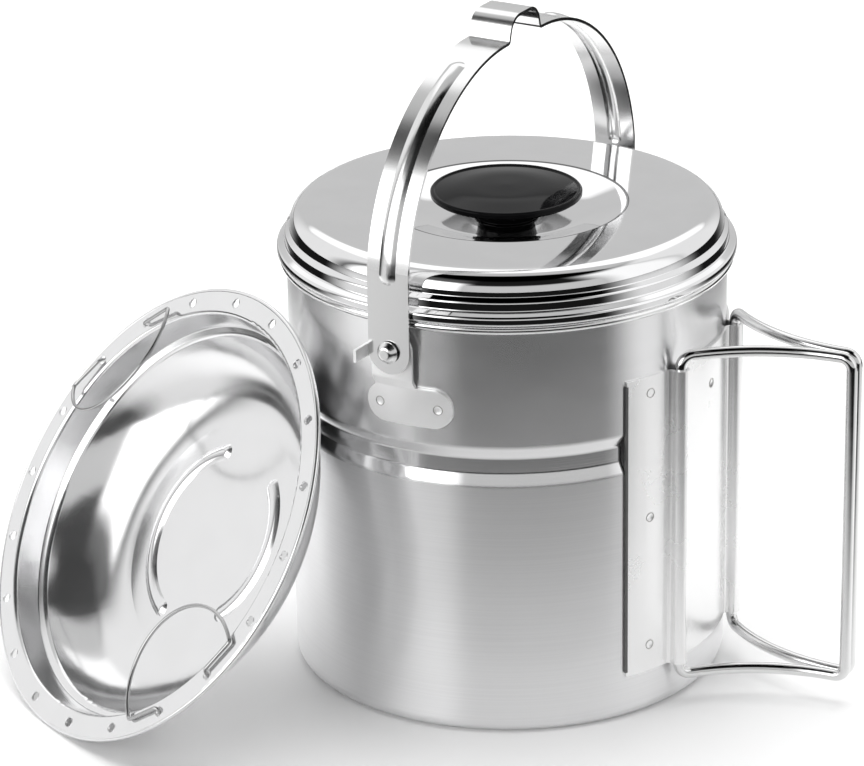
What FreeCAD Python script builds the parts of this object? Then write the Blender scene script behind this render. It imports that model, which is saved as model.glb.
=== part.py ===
import FreeCAD, Part
import math
import os

# Hanging cooking pot set: a drawn steel pot with a plug lid, a carrying bail on two
# riveted lugs, a two-wire folding side handle, and a perforated steamer tray that
# leans against the pot. Millimetres and degrees.
#
# Frame: origin at the centre of the pot's base, +Z up. The bail turns about an axis
# along Y. The side handle stands out near +X. The tray leans on the -X, -Y side.

# ---------------------------------------------------------------- driving dimensions

# Pot body
pot_radius = 70.0
pot_gauge = 0.6
pot_corner = 4.0
groove_depth = 1.4
groove_drop = 53.5
groove_height = 12.8
groove_lead = 3.8
groove_outer_bend = 3.0
groove_inner_bend = 2.5
rim_height = 138.0
rim_roll = 1.4
roll_clearance = 0.02

# Lid
lid_gauge = 0.6
lid_seat_gap = 0.3
lid_hem_height = 3.0
lid_hem_overhang = 0.8
lid_wall_inset = 2.3
lid_wall_foot = 7.4
lid_bead_out = 1.6
lid_bead_drop = 1.1
lid_band_foot = 3.5
lid_rise = 15.3
lid_shoulder = 5.0
plug_clearance = 0.7
plug_depth = 7.0
dish_radius = 41.0
dish_depth = 5.0
dish_flat = 13.0
lid_hole = 2.2

# Knob and its fastening
knob_radius = 24.1
knob_rim_lift = 4.0
knob_rim_thickness = 2.5
knob_flare = 8.0
knob_dish = 11.0
knob_neck_radius = 8.85
knob_foot_radius = 10.2
insert_radius = 3.2
insert_length = 6.0
screw_radius = 1.95
screw_clearance = 0.05
screw_reach = 5.0
screw_head_radius = 3.8
screw_head_height = 2.2
washer_radius = 5.5
washer_thickness = 0.8
spring_washer_radius = 3.6
spring_washer_thickness = 0.9
spring_washer_cut = 0.7

# Bail
bail_width = 14.4
bail_gauge = 1.0
bail_clearance = 0.8
pivot_drop = 10.5
bail_arm_height = 18.0
crown_half = 11.0
hump_foot = 10.0
hump_shoulder = 8.0
hump_height = 7.7
hump_bend = 5.5
hump_foot_bend = 0.5
rib_half_width = 2.8
rib_rise = 0.8
rib_start = 6.5
rib_end = 72.0

# Bail lugs and rivets
lug_gauge = 1.0
lug_foot_length = 29.0
lug_foot_height = 12.6
lug_foot_drop = 18.2
weld_turn = 3.6
ear_stand_off = 2.0
ear_margin = 7.0
joggle_drop = 11.9
joggle_height = 2.8
joggle_bend = 1.2
tab_reach = 8.0
tab_height = 4.0
tab_offset = 8.6
tab_rise = 0.7
rivet_radius = 2.4
rivet_clearance = 0.05
rivet_head_radius = 3.5
rivet_head_height = 2.3
rivet_tail_height = 1.1
arm_play = 0.1
bail_washer_radius = 4.6
bail_washer_thickness = 0.6

# Side handle
bracket_gauge = 0.8
bracket_foot = 15.0
bracket_headroom = 23.0
wing_edge = 33.3
barrel_turn = 17.2
barrel_stand_off = 3.0
barrel_lead = 1.2
wire_radius = 1.8
wire_clearance = 0.08
wire_end_gap = 0.6
wire_corner = 3.7
grip_turn = 59.4
grip_half_gap = 2.0

# Spot welds
weld_radius = 1.5
weld_depth = 0.3
weld_gap = 0.05
lug_weld_turn = 8.0
wing_weld_turn = 26.0
wing_weld_foot = 9.0
wing_weld_head = 5.4
wing_weld_shift = 1.0
web_weld_drop = 12.3

# Steamer tray
tray_gauge = 0.6
tray_radius = 75.2
tray_edge = 1.5
tray_mouth = 67.2
tray_depth = 25.4
tray_floor = 55.5
bowl_straight = 1.1
ledge_depth = 8.6
ledge_width = 2.4
ledge_fall = 0.8
bowl_draft = 1.6
tray_holes = 20
tray_hole_radius = 1.5
hole_inset = 3.85
first_hole = 9.0
floor_rib_radius = 29.1
floor_rib_half_width = 2.75
floor_rib_rise = 1.0
floor_rib_facing = 7.5
short_rib_half_turn = 48.0
long_rib_half_turn = 69.0
tray_tilt = 56.2
tray_facing = -27.2
tray_side = -42.1
tray_gap = 0.3

# Tray loops
loop_wire = 0.6
loop_radius = 23.5
loop_foot = 3.7
loop_throw = 1.8
loop_shoulder = 4.2
loop_leg = 1.1
loop_bend = 1.2
low_loop_hole = 17
high_loop_hole = 7
high_loop_lift = 18.0

# ---------------------------------------------------------------- derived places

pot_inside = pot_radius - pot_gauge
groove_foot = rim_height - groove_drop
groove_top = groove_foot + groove_height
rim_outside = pot_inside + 2 * rim_roll
lid_hem_radius = rim_outside + lid_hem_overhang
lid_wall_radius = pot_inside - lid_wall_inset
lid_foot = rim_height + lid_seat_gap
lid_top = lid_foot + lid_rise - lid_seat_gap
plug_radius = pot_inside - plug_clearance
dish_level = lid_top - dish_depth
dish_underside = dish_level - lid_gauge
knob_rim_level = lid_top + knob_rim_lift
tray_hole_circle = tray_radius - hole_inset
bail_half_span = lid_hem_radius + bail_clearance + bail_gauge / 2
bail_bend = bail_half_span - crown_half
pivot_height = rim_height - pivot_drop
lug_foot_level = pivot_height - lug_foot_drop
joggle_foot = pivot_height - joggle_drop
ear_inside = pot_radius + ear_stand_off
ear_outside = ear_inside + lug_gauge
arm_inside = bail_half_span - bail_gauge / 2
arm_outside = bail_half_span + bail_gauge / 2
tab_top = pivot_height + tab_rise
barrel_radius = pot_radius + barrel_stand_off
bracket_height = rim_height - bracket_headroom - bracket_foot
bracket_head = bracket_foot + bracket_height
wing_weld_low = bracket_foot + wing_weld_foot
wing_weld_high = bracket_head - wing_weld_head
wing_weld_middle = (wing_weld_low + wing_weld_high) / 2 + wing_weld_shift
web_weld_level = bracket_head - web_weld_drop
ledge_radius = tray_mouth - bowl_draft
ledge_inside = ledge_radius - ledge_width
ledge_level = ledge_depth + ledge_fall

origin = FreeCAD.Vector(0, 0, 0)
along_x = FreeCAD.Vector(1, 0, 0)
along_y = FreeCAD.Vector(0, 1, 0)
along_z = FreeCAD.Vector(0, 0, 1)


# ---------------------------------------------------------------- geometry helpers

def vec(x, y, z=0.0):
    return FreeCAD.Vector(x, y, z)


def polar(radius, turn, level=0.0):
    """A point at a radius and a turn from +X about Z."""
    angle = math.radians(turn)
    return vec(radius * math.cos(angle), radius * math.sin(angle), level)


def corner_arc(before, corner, after, radius):
    """Start, middle and end of the arc that rounds one corner of a path."""
    back = (before - corner).normalize()
    ahead = (after - corner).normalize()
    half = back.getAngle(ahead) / 2
    centre = corner + (back + ahead).normalize() * (radius / math.sin(half))
    reach = radius / math.tan(half)
    middle = centre + (corner - centre).normalize() * radius
    return corner + back * reach, middle, corner + ahead * reach


def rounded_wire(points, bends, closed=False):
    """Straight runs joined by tangent arcs; bends holds one radius per point."""
    count = len(points)
    arcs = {}
    for i in range(count):
        inside = closed or 0 < i < count - 1
        if inside and bends[i] > 0:
            arcs[i] = corner_arc(points[i - 1], points[i], points[(i + 1) % count], bends[i])
    edges = []
    for i in range(count if closed else count - 1):
        j = (i + 1) % count
        start = arcs[i][2] if i in arcs else points[i]
        end = arcs[j][0] if j in arcs else points[j]
        if start.distanceToPoint(end) > 1e-5:
            edges.append(Part.LineSegment(start, end).toShape())
        if j in arcs:
            edges.append(Part.Arc(*arcs[j]).toShape())
    return Part.Wire(edges)


def sheet_outline(points, bends, gauge):
    """Closed outline, in the XZ plane, of bent sheet.

    points run along one face, bends are inside bend radii, and the sheet lies to the
    left of the direction of travel, or to the right where gauge is negative.
    """
    steps = []
    for a, b in zip(points, points[1:]):
        length = math.dist(a, b)
        steps.append(((b[0] - a[0]) / length, (b[1] - a[1]) / length))
    face = []
    back = []
    face_bends = []
    back_bends = []
    for i, (x, z) in enumerate(points):
        d1 = steps[max(i - 1, 0)]
        d2 = steps[min(i, len(steps) - 1)]
        share = gauge / (1 + d1[0] * d2[0] + d1[1] * d2[1])
        face.append(vec(x, 0, z))
        back.append(vec(x - share * (d1[1] + d2[1]), 0, z + share * (d1[0] + d2[0])))
        turn = d1[0] * d2[1] - d1[1] * d2[0]
        towards = turn * gauge > 0
        face_bends.append(bends[i] + abs(gauge) if towards else bends[i])
        back_bends.append(bends[i] if towards else bends[i] + abs(gauge))
    face_bends[0] = face_bends[-1] = back_bends[0] = back_bends[-1] = 0
    outline = face + back[::-1]
    radii = face_bends + back_bends[::-1]
    return rounded_wire(outline, radii, closed=True)


def lathe(wire):
    """Solid of revolution about Z of an outline in the XZ plane."""
    return Part.Face(wire).revolve(origin, along_z, 360)


def turned(points):
    """Solid of revolution of a plain polygon of (radius, level) points."""
    corners = [vec(r, 0, z) for r, z in points]
    return lathe(Part.makePolygon(corners + corners[:1]))


def tube(outer, inner, foot, height):
    """Upright tube about Z."""
    return turned([(inner, foot), (outer, foot), (outer, foot + height), (inner, foot + height)])


def pipe(path, radius):
    """Round wire along a path."""
    start = path.Edges[0]
    heading = start.tangentAt(start.FirstParameter)
    ring = Part.Wire(Part.makeCircle(radius, start.valueAt(start.FirstParameter), heading))
    return path.makePipeShell([ring], True, False)


def dent(place, inward, radius, depth):
    """Tool for a shallow round dent, as a spot weld leaves, sunk at a place on a face."""
    ball = (radius * radius + depth * depth) / (2 * depth)
    return Part.makeSphere(ball, place - inward * (ball - depth))


def pressed_rib(major, half_width, rise, first, last, extra=0.0):
    """Rounded rib along an arc about Z, standing up from the plane z = 0.

    extra is taken off the round section, for the hollow under the rib.
    """
    section = (half_width * half_width + rise * rise) / (2 * rise)
    sunk = rise - section
    body = Part.makeTorus(major, section - extra, vec(0, 0, sunk), along_z, 0, 360, last - first)
    body.rotate(origin, along_z, first)
    for turn in (first, last):
        body = body.fuse(Part.makeSphere(section - extra, polar(major, turn, sunk)))
    return body


# ---------------------------------------------------------------- pot body

def make_pot_body():
    roll_inside = rim_roll - pot_gauge - roll_clearance
    roll_turn = rim_height - pot_gauge
    roll_out = rim_outside - pot_gauge
    roll_foot = rim_height - 2 * rim_roll + pot_gauge
    points = [
        (0, 0),
        (pot_radius, 0),
        (pot_radius, groove_foot),
        (pot_radius - groove_depth, groove_foot + groove_lead),
        (pot_radius - groove_depth, groove_top - groove_lead),
        (pot_radius, groove_top),
        (pot_radius, roll_turn),
        (roll_out, roll_turn),
        (roll_out, roll_foot),
        (pot_radius + pot_gauge, roll_foot),
    ]
    groove_bends = [groove_outer_bend, groove_inner_bend, groove_inner_bend, groove_outer_bend]
    bends = [0, pot_corner - pot_gauge] + groove_bends + [roll_inside, roll_inside, roll_inside, 0]
    return lathe(sheet_outline(points, bends, pot_gauge))


# ---------------------------------------------------------------- lid and knob

def make_lid_shell():
    bead_top = lid_foot + lid_wall_foot
    bead = lid_wall_radius + lid_bead_out
    points = [
        (lid_hole, dish_level),
        (dish_flat, dish_level),
        (0.62 * dish_radius, dish_level + 0.27 * dish_depth),
        (dish_radius, lid_top),
        (lid_wall_radius, lid_top),
        (lid_wall_radius, bead_top),
        (bead, bead_top - lid_bead_drop),
        (bead, lid_foot + lid_band_foot),
        (lid_hem_radius, lid_foot + lid_hem_height),
        (lid_hem_radius, lid_foot),
        (plug_radius, lid_foot),
        (plug_radius, lid_foot - plug_depth),
    ]
    bends = [0, 20.0, 40.0, 0.2, lid_shoulder - lid_gauge, 0.5, 0.5, 1.0, 0.5, 0.3, 0.6, 0]
    return lathe(sheet_outline(points, bends, -lid_gauge))


def make_lid_knob():
    rim = knob_rim_level
    under = rim - knob_rim_thickness
    foot = dish_level
    insert_top = foot + insert_length
    points = [
        (insert_radius, foot),
        (knob_foot_radius, foot),
        (knob_foot_radius, foot + 0.5),
        (knob_neck_radius, foot + 1.6),
        (knob_neck_radius, under - 2.2),
        (knob_radius - knob_flare, under - 0.6),
        (knob_radius - 1.0, under),
        (knob_radius, under + 0.7),
        (knob_radius, rim - 0.5),
        (knob_radius - 0.5, rim),
        (knob_radius - 1.1, rim),
        (knob_radius - 1.5, rim - 0.35),
        (knob_radius - knob_dish, rim + 1.0),
        (0, rim + 1.3),
        (0, insert_top),
        (insert_radius, insert_top),
    ]
    bends = [0, 0.2, 0.2, 0.8, 2.5, 8.0, 0.8, 0.5, 0.4, 0.2, 0.2, 0.2, 60.0, 0, 0, 0]
    corners = [vec(r, 0, z) for r, z in points]
    return lathe(rounded_wire(corners, bends, closed=True))


def make_knob_insert():
    bore = screw_radius + screw_clearance
    return tube(insert_radius, bore, dish_level, insert_length)


def make_knob_washer():
    return tube(washer_radius, lid_hole, dish_underside - washer_thickness, washer_thickness)


def make_knob_spring_washer():
    level = dish_underside - washer_thickness - spring_washer_thickness
    ring = tube(spring_washer_radius, lid_hole, level, spring_washer_thickness)
    reach = 2 * spring_washer_radius
    split = Part.makeBox(reach, spring_washer_cut, 2 * spring_washer_thickness)
    split.translate(vec(0, -spring_washer_cut / 2, level - spring_washer_thickness / 2))
    split.rotate(vec(0, 0, level + spring_washer_thickness / 2), along_x, 20)
    return ring.cut(split)


def make_knob_screw():
    seat = dish_underside - washer_thickness - spring_washer_thickness
    tip = dish_level + screw_reach
    crown = seat - screw_head_height
    slot_half = 0.5
    points = [
        (0, crown),
        (0.6 * screw_head_radius, crown),
        (screw_head_radius, crown + 0.5 * screw_head_height),
        (screw_head_radius, seat),
        (screw_radius, seat),
        (screw_radius, tip),
        (0, tip),
    ]
    bends = [0, 1.0, 0.5, 0, 0, 0, 0]
    corners = [vec(r, 0, z) for r, z in points]
    screw = lathe(rounded_wire(corners, bends, closed=True))
    slot = Part.makeBox(4 * screw_head_radius, 2 * slot_half, 2 * slot_half)
    slot.translate(vec(-2 * screw_head_radius, -slot_half, crown - slot_half))
    return screw.cut(slot)


# ---------------------------------------------------------------- bail, lugs and rivets

def bail_strip():
    """The bent strip before its ends are rounded, drawn in the YZ plane."""
    top = pivot_height + bail_arm_height + bail_bend
    foot = pivot_height - bail_width / 2
    inner = bail_gauge / 2
    shoulder = top + hump_height
    right = [
        (hump_shoulder - inner, shoulder - inner),
        (hump_foot - inner, top - inner),
        (bail_half_span - inner, top - inner),
        (bail_half_span - inner, foot),
    ]
    left = [(-y, z) for y, z in reversed(right)]
    bend = bail_bend - inner
    radii = [0, bend, hump_foot_bend, hump_bend, hump_bend, hump_foot_bend, bend, 0]
    outline = sheet_outline(left + right, radii, bail_gauge)
    strip = Part.Face(outline).extrude(vec(0, bail_width, 0))
    strip.translate(vec(0, -bail_width / 2, 0))
    strip.rotate(origin, along_z, 90)
    return strip


def arm_rib(side, extra):
    """Rib tool in one arm: an arc about the centre of the arm's bend."""
    section = (rib_half_width ** 2 + rib_rise ** 2) / (2 * rib_rise)
    major = bail_bend + bail_gauge / 2 + rib_rise - section
    body = Part.makeTorus(major, section - extra, origin, along_z, 0, 360, rib_end - rib_start)
    body.rotate(origin, along_z, rib_start)
    for turn in (rib_start, rib_end):
        body = body.fuse(Part.makeSphere(section - extra, polar(major, turn)))
    keep = tube(bail_bend + 3 * rib_rise, bail_bend if extra == 0 else 0.9 * bail_bend,
                -rib_half_width, 2 * rib_half_width)
    body = body.common(keep)
    body.rotate(origin, along_x, 90)
    body.rotate(origin, along_z, 90)
    centre = bail_half_span - bail_bend
    body.translate(vec(0, centre, pivot_height + bail_arm_height))
    if side < 0:
        body = body.mirror(origin, along_y)
    return body


def make_bail():
    strip = bail_strip()
    reach = 2 * bail_half_span
    top = pivot_height + bail_arm_height + bail_bend + 2 * hump_height
    upper = Part.makeBox(bail_width, reach, top - pivot_height)
    upper.translate(vec(-bail_width / 2, -reach / 2, pivot_height))
    ends = Part.makeCylinder(bail_width / 2, reach, vec(0, -reach / 2, pivot_height), along_y)
    strip = strip.common(upper.fuse(ends))
    hole = rivet_radius + rivet_clearance
    strip = strip.cut(Part.makeCylinder(hole, reach, vec(0, -reach / 2, pivot_height), along_y))
    for side in (-1, 1):
        strip = strip.fuse(arm_rib(side, 0.0))
        strip = strip.cut(arm_rib(side, bail_gauge))
    return strip.removeSplitter()


def lug_shell():
    """Joggled sheet of the near lug as a ring about Z, before its outline is cut."""
    foot = lug_foot_level - lug_foot_height
    head = pivot_height + 2 * ear_margin
    points = [
        (pot_radius + weld_gap, foot),
        (pot_radius + weld_gap, joggle_foot),
        (ear_inside, joggle_foot + joggle_height),
        (ear_inside, head),
    ]
    return lathe(sheet_outline(points, [0, joggle_bend, joggle_bend, 0], -lug_gauge))


def make_bail_lug(side):
    half = lug_foot_length / 2
    cap = lug_foot_height / 2
    shift = pot_radius * math.sin(math.radians(weld_turn))
    deep = pot_radius
    start = -1.5 * pot_radius
    foot = Part.makeBox(2 * (half - cap), deep, lug_foot_height)
    foot.translate(vec(shift - half + cap, start, lug_foot_level - cap))
    for x in (shift - half + cap, shift + half - cap):
        foot = foot.fuse(Part.makeCylinder(cap, deep, vec(x, start, lug_foot_level), along_y))
    neck = Part.makeBox(2 * ear_margin, deep, pivot_height - lug_foot_level)
    neck.translate(vec(-ear_margin, start, lug_foot_level))
    ear = Part.makeCylinder(ear_margin, deep, vec(0, start, pivot_height), along_y)
    arm = Part.makeBox(tab_offset, deep, tab_height)
    arm.translate(vec(-tab_offset - lug_gauge, start, tab_top - tab_height))
    lug = lug_shell().common(foot.fuse([neck, ear, arm]))

    root = -math.sqrt(ear_inside ** 2 - (tab_offset + lug_gauge) ** 2)
    tab = Part.makeBox(lug_gauge, tab_reach, tab_height)
    tab.translate(vec(-tab_offset - lug_gauge, root - tab_reach, tab_top - tab_height))
    lug = lug.fuse(tab).removeSplitter()

    lug = lug.cut(Part.makeCylinder(rivet_radius, deep, vec(0, start, pivot_height), along_y))
    for offset in (-lug_weld_turn, lug_weld_turn):
        turn = weld_turn + offset - 90
        place = polar(pot_radius + weld_gap + lug_gauge, turn, lug_foot_level)
        lug = lug.cut(dent(place, polar(-1, turn), weld_radius, weld_depth))
    if side > 0:
        lug = lug.mirror(origin, along_y)
    return lug


def on_pivot(solid, side):
    """Turns a solid made about Z so that its +Z points outward along the bail's axis."""
    solid.rotate(origin, along_x, 90)
    solid.translate(vec(0, 0, pivot_height))
    if side > 0:
        solid = solid.mirror(origin, along_y)
    return solid


def make_bail_rivet(side):
    tail_seat = math.sqrt(ear_inside ** 2 - rivet_head_radius ** 2)
    head_seat = arm_outside + arm_play
    tail = tail_seat - rivet_tail_height
    crown = head_seat + rivet_head_height
    points = [
        (0, tail),
        (rivet_head_radius, tail),
        (rivet_head_radius, tail_seat),
        (rivet_radius, tail_seat),
        (rivet_radius, head_seat),
        (rivet_head_radius, head_seat),
        (rivet_head_radius, head_seat + 0.4),
        (0.62 * rivet_head_radius, crown),
        (0, crown),
    ]
    bends = [0, 0.4, 0, 0, 0, 0, 0.3, 1.6, 0]
    corners = [vec(r, 0, z) for r, z in points]
    return on_pivot(lathe(rounded_wire(corners, bends, closed=True)), side)


def make_bail_washer(side):
    bore = rivet_radius + rivet_clearance
    ring = tube(bail_washer_radius, bore, ear_outside + arm_play / 2, bail_washer_thickness)
    return on_pivot(ring, side)


# ---------------------------------------------------------------- side handle

def bracket_face(offset):
    """Arcs of one face of the +Y half of the bracket, in plan, from web to wing.

    offset is the distance of the face outside the sheet's middle.
    """
    middle = pot_radius + weld_gap + bracket_gauge / 2
    loop = wire_radius + wire_clearance + bracket_gauge / 2
    lead = barrel_lead + bracket_gauge / 2
    to_lead = middle + lead
    spread = loop + lead
    apart = math.degrees(math.acos((barrel_radius ** 2 + to_lead ** 2 - spread ** 2)
                                   / (2 * barrel_radius * to_lead)))
    axis = polar(barrel_radius, barrel_turn)
    arcs = []
    web_end = barrel_turn - apart
    wing_start = barrel_turn + apart
    for centre_turn, first in ((web_end, True), (wing_start, False)):
        centre = polar(to_lead, centre_turn)
        on_wall = centre - polar(1, centre_turn) * (lead - offset)
        towards = (axis - centre).normalize()
        on_loop = centre + towards * (lead - offset)
        between = (towards - polar(1, centre_turn)).normalize()
        middle_point = centre + between * (lead - offset)
        arcs.append((on_wall, middle_point, on_loop) if first else (on_loop, middle_point, on_wall))
    crown = axis + polar(1, barrel_turn) * (loop + offset)
    radius = middle + offset
    halfway = (wing_start + wing_edge) / 2
    return [
        (polar(radius, 0), polar(radius, web_end / 2), arcs[0][0]),
        arcs[0],
        (arcs[0][2], crown, arcs[1][0]),
        arcs[1],
        (arcs[1][2], polar(radius, halfway), polar(radius, wing_edge)),
    ]


def make_handle_bracket():
    half = bracket_gauge / 2
    outer = [Part.Arc(*arc).toShape() for arc in bracket_face(half)]
    inner = [Part.Arc(*arc).toShape() for arc in bracket_face(-half)]
    inner_end = bracket_face(-half)[-1][2]
    outer_end = bracket_face(half)[-1][2]
    inner_start = bracket_face(-half)[0][0]
    outer_start = bracket_face(half)[0][0]
    edge = Part.LineSegment(outer_end, inner_end).toShape()
    middle = Part.LineSegment(inner_start, outer_start).toShape()
    outline = Part.Wire(outer + [edge] + inner[::-1] + [middle])
    part = Part.Face(outline).extrude(vec(0, 0, bracket_height))
    bracket = part.fuse(part.mirror(origin, along_y)).removeSplitter()
    bracket.translate(vec(0, 0, bracket_foot))

    face = pot_radius + weld_gap + bracket_gauge
    welds = [(0.0, web_weld_level)]
    for turn in (-wing_weld_turn, wing_weld_turn):
        welds += [(turn, level) for level in (wing_weld_low, wing_weld_middle, wing_weld_high)]
    for turn, level in welds:
        bracket = bracket.cut(dent(polar(face, turn, level), polar(-1, turn), weld_radius, weld_depth))
    bracket.rotate(origin, along_z, weld_turn)
    return bracket


def fold_angle():
    """Turn of a wire about its barrel, from lying on the wall to standing out as a grip."""
    axis = polar(barrel_radius, barrel_turn)
    lying = polar(barrel_radius, grip_turn) - axis
    length = lying.Length
    across = grip_half_gap - axis.y
    out = math.sqrt(length ** 2 - across ** 2)
    standing = math.degrees(math.atan2(across, out))
    return math.degrees(math.atan2(lying.y, lying.x)) - standing


def make_wire_handle(side):
    """Closed D of wire, drawn lying on the wall and then swung out to the grip."""
    foot = bracket_foot - wire_end_gap - wire_radius - wire_corner / 2
    head = bracket_foot + bracket_height + wire_end_gap + wire_radius + wire_corner / 2
    start = polar(barrel_radius, barrel_turn)
    end = polar(barrel_radius, grip_turn)
    leave = polar(1, barrel_turn + 90)
    arrive = polar(1, grip_turn + 90)
    half_turn = (grip_turn - barrel_turn) / 2
    inward = wire_corner / math.sin(math.radians(half_turn))
    bisector = (barrel_turn + grip_turn) / 2
    centre = polar(inward, bisector)
    run_radius = (start + leave * wire_corner - centre).Length
    crown = centre + polar(run_radius, bisector)
    slope = math.sqrt(0.5)
    edges = []

    def corner(post, heading, level, up):
        pivot = post + heading * wire_corner + vec(0, 0, level - up * wire_corner)
        on_post = pivot - heading * wire_corner
        on_run = pivot + vec(0, 0, up * wire_corner)
        middle = pivot + (vec(0, 0, up) - heading) * (wire_corner * slope)
        return on_post, middle, on_run

    a = corner(start, leave, foot, -1)
    b = corner(start, leave, head, 1)
    c = corner(end, arrive * -1, head, 1)
    d = corner(end, arrive * -1, foot, -1)
    weld = end + vec(0, 0, bracket_foot + 0.65 * bracket_height)
    edges.append(Part.LineSegment(weld, d[0]).toShape())
    edges.append(Part.Arc(*d).toShape())
    edges.append(Part.Arc(d[2], crown + vec(0, 0, foot), a[2]).toShape())
    edges.append(Part.Arc(a[2], a[1], a[0]).toShape())
    edges.append(Part.LineSegment(a[0], b[0]).toShape())
    edges.append(Part.Arc(*b).toShape())
    edges.append(Part.Arc(b[2], crown + vec(0, 0, head), c[2]).toShape())
    edges.append(Part.Arc(c[2], c[1], c[0]).toShape())
    edges.append(Part.LineSegment(c[0], weld).toShape())
    wire = pipe(Part.Wire(edges), wire_radius)
    wire.rotate(start, along_z, -fold_angle())
    if side < 0:
        wire = wire.mirror(origin, along_y)
    wire.rotate(origin, along_z, weld_turn)
    return wire


# ---------------------------------------------------------------- steamer tray

def bowl_wall():
    """Length of the bowl's straight-sided wall, before its bend, and its slope."""
    rise = tray_depth - ledge_level
    run = ledge_inside - tray_floor
    return math.hypot(run, rise), math.atan2(rise, run)


def bowl_bend():
    """Inside radius of the bend that turns the wall into the floor."""
    length, slope = bowl_wall()
    return (length - bowl_straight) / math.tan(slope / 2)


def tray_shell():
    """The tray lying flat: flange's top face at z = 0, bowl below, about Z."""
    points = [
        (0, -tray_depth),
        (tray_floor, -tray_depth),
        (ledge_inside, -ledge_level),
        (ledge_radius, -ledge_depth),
        (tray_mouth, 0),
        (tray_radius, 0),
        (tray_radius, -tray_edge),
    ]
    bends = [0, bowl_bend(), 1.2, 0.5, 0.8, 0.3, 0]
    shell = lathe(sheet_outline(points, bends, -tray_gauge))
    for i in range(tray_holes):
        place = polar(tray_hole_circle, first_hole + i * 360.0 / tray_holes, -2 * tray_gauge)
        shell = shell.cut(Part.makeCylinder(tray_hole_radius, 4 * tray_gauge, place))
    for middle, half_turn in ((0.0, short_rib_half_turn), (180.0, long_rib_half_turn)):
        first = floor_rib_facing + middle - half_turn
        last = floor_rib_facing + middle + half_turn
        sizes = (floor_rib_radius, floor_rib_half_width, floor_rib_rise, first, last)
        ridge = pressed_rib(*sizes)
        hollow = pressed_rib(*sizes, extra=tray_gauge)
        keep = tube(tray_floor, 1.0, -tray_gauge / 2, 4 * floor_rib_rise)
        ridge = ridge.common(keep)
        ridge.translate(vec(0, 0, -tray_depth))
        hollow.translate(vec(0, 0, -tray_depth))
        shell = shell.fuse(ridge).cut(hollow)
    return shell.removeSplitter()


def tray_axes():
    """Unit vectors across, up the slope and out of the leaning tray's mouth."""
    tilt = math.radians(tray_tilt)
    out = polar(math.sin(tilt), tray_facing - 90, math.cos(tilt))
    across = along_z.cross(out).normalize()
    return across, out.cross(across), out


def tray_samples():
    """Radius and depth of points on the underside that can touch the pot."""
    drop = tray_depth + tray_gauge
    length, wall = bowl_wall()
    bend = bowl_bend() + tray_gauge
    back = (bend - tray_gauge) * math.tan(wall / 2)
    points = [(tray_radius, 0.0), (tray_radius, tray_edge)]
    points.append((tray_mouth + tray_gauge, tray_gauge))
    points.append((ledge_radius + tray_gauge, ledge_depth + tray_gauge / 2))
    points.append((ledge_inside, ledge_level + tray_gauge))
    for i in range(13):
        turn = wall * i / 12
        points.append((tray_floor - back + bend * math.sin(turn), drop - bend + bend * math.cos(turn)))
    return points


def wall_at(level):
    """Outside radius of the pot's wall at a level, with the pressed groove."""
    into = min(level - groove_foot, groove_top - level)
    return pot_radius - groove_depth * min(max(into / groove_lead, 0.0), 1.0)


def tray_centre():
    """Centre of the leaning tray's mouth, clear of the pot's wall by the tray gap."""
    across, slope, out = tray_axes()
    level = tray_radius * slope.z + tray_edge * out.z
    way = polar(1, tray_side - 90)
    samples = []
    for radius, depth in tray_samples():
        for i in range(180):
            ring = polar(radius, 2.0 * i)
            samples.append(across * ring.x + slope * ring.y - out * depth)
    reach = 0.0
    for point in samples:
        if 0 < point.z + level < rim_height - 2 * rim_roll:
            wanted = wall_at(point.z + level) + tray_gap
            along = point.dot(way)
            aside = math.hypot(point.x, point.y) ** 2 - along ** 2
            if aside < wanted ** 2:
                reach = max(reach, math.sqrt(wanted ** 2 - aside) - along)
    return way * reach + vec(0, 0, level)


def lean(solid):
    """Moves a solid drawn on the flat tray to where the tray leans on the pot."""
    a, s, n = tray_axes()
    c = tray_centre()
    pose = FreeCAD.Matrix(a.x, s.x, n.x, c.x, a.y, s.y, n.y, c.y, a.z, s.z, n.z, c.z, 0, 0, 0, 1)
    moved = solid.copy()
    moved.Placement = FreeCAD.Placement(pose).multiply(moved.Placement)
    return moved


def loop_frame(hole):
    """Middle of the chord between one hole and the next, its half length and its turn."""
    step = 360.0 / tray_holes
    turn = first_hole + (hole + 0.5) * step
    half = math.radians(step / 2)
    middle = polar(tray_hole_circle * math.cos(half), turn, -tray_gauge / 2)
    return middle, tray_hole_circle * math.sin(half), turn


def make_tray_loop(hole, lift):
    """Wire loop hooked in two neighbouring holes, turned up by lift about their chord."""
    middle, half, turn = loop_frame(hole)
    throw = loop_throw * math.sqrt(0.5)
    crown = loop_shoulder + loop_leg + loop_radius
    side = [
        vec(half - loop_foot, -throw, -throw),
        vec(half, -throw, -throw),
        vec(half, throw, throw),
        vec(loop_radius, loop_shoulder, throw),
        vec(loop_radius, crown, throw),
    ]
    other = [vec(-p.x, p.y, p.z) for p in reversed(side)]
    arch = loop_radius - 0.02
    bends = [0, loop_bend, loop_bend, loop_bend, arch, arch, loop_bend, loop_bend, loop_bend, 0]
    loop = pipe(rounded_wire(side + other, bends), loop_wire)
    loop.rotate(origin, along_x, lift)
    loop.rotate(origin, along_z, turn + 90)
    loop.translate(middle)
    return lean(loop)


# ---------------------------------------------------------------- build

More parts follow.
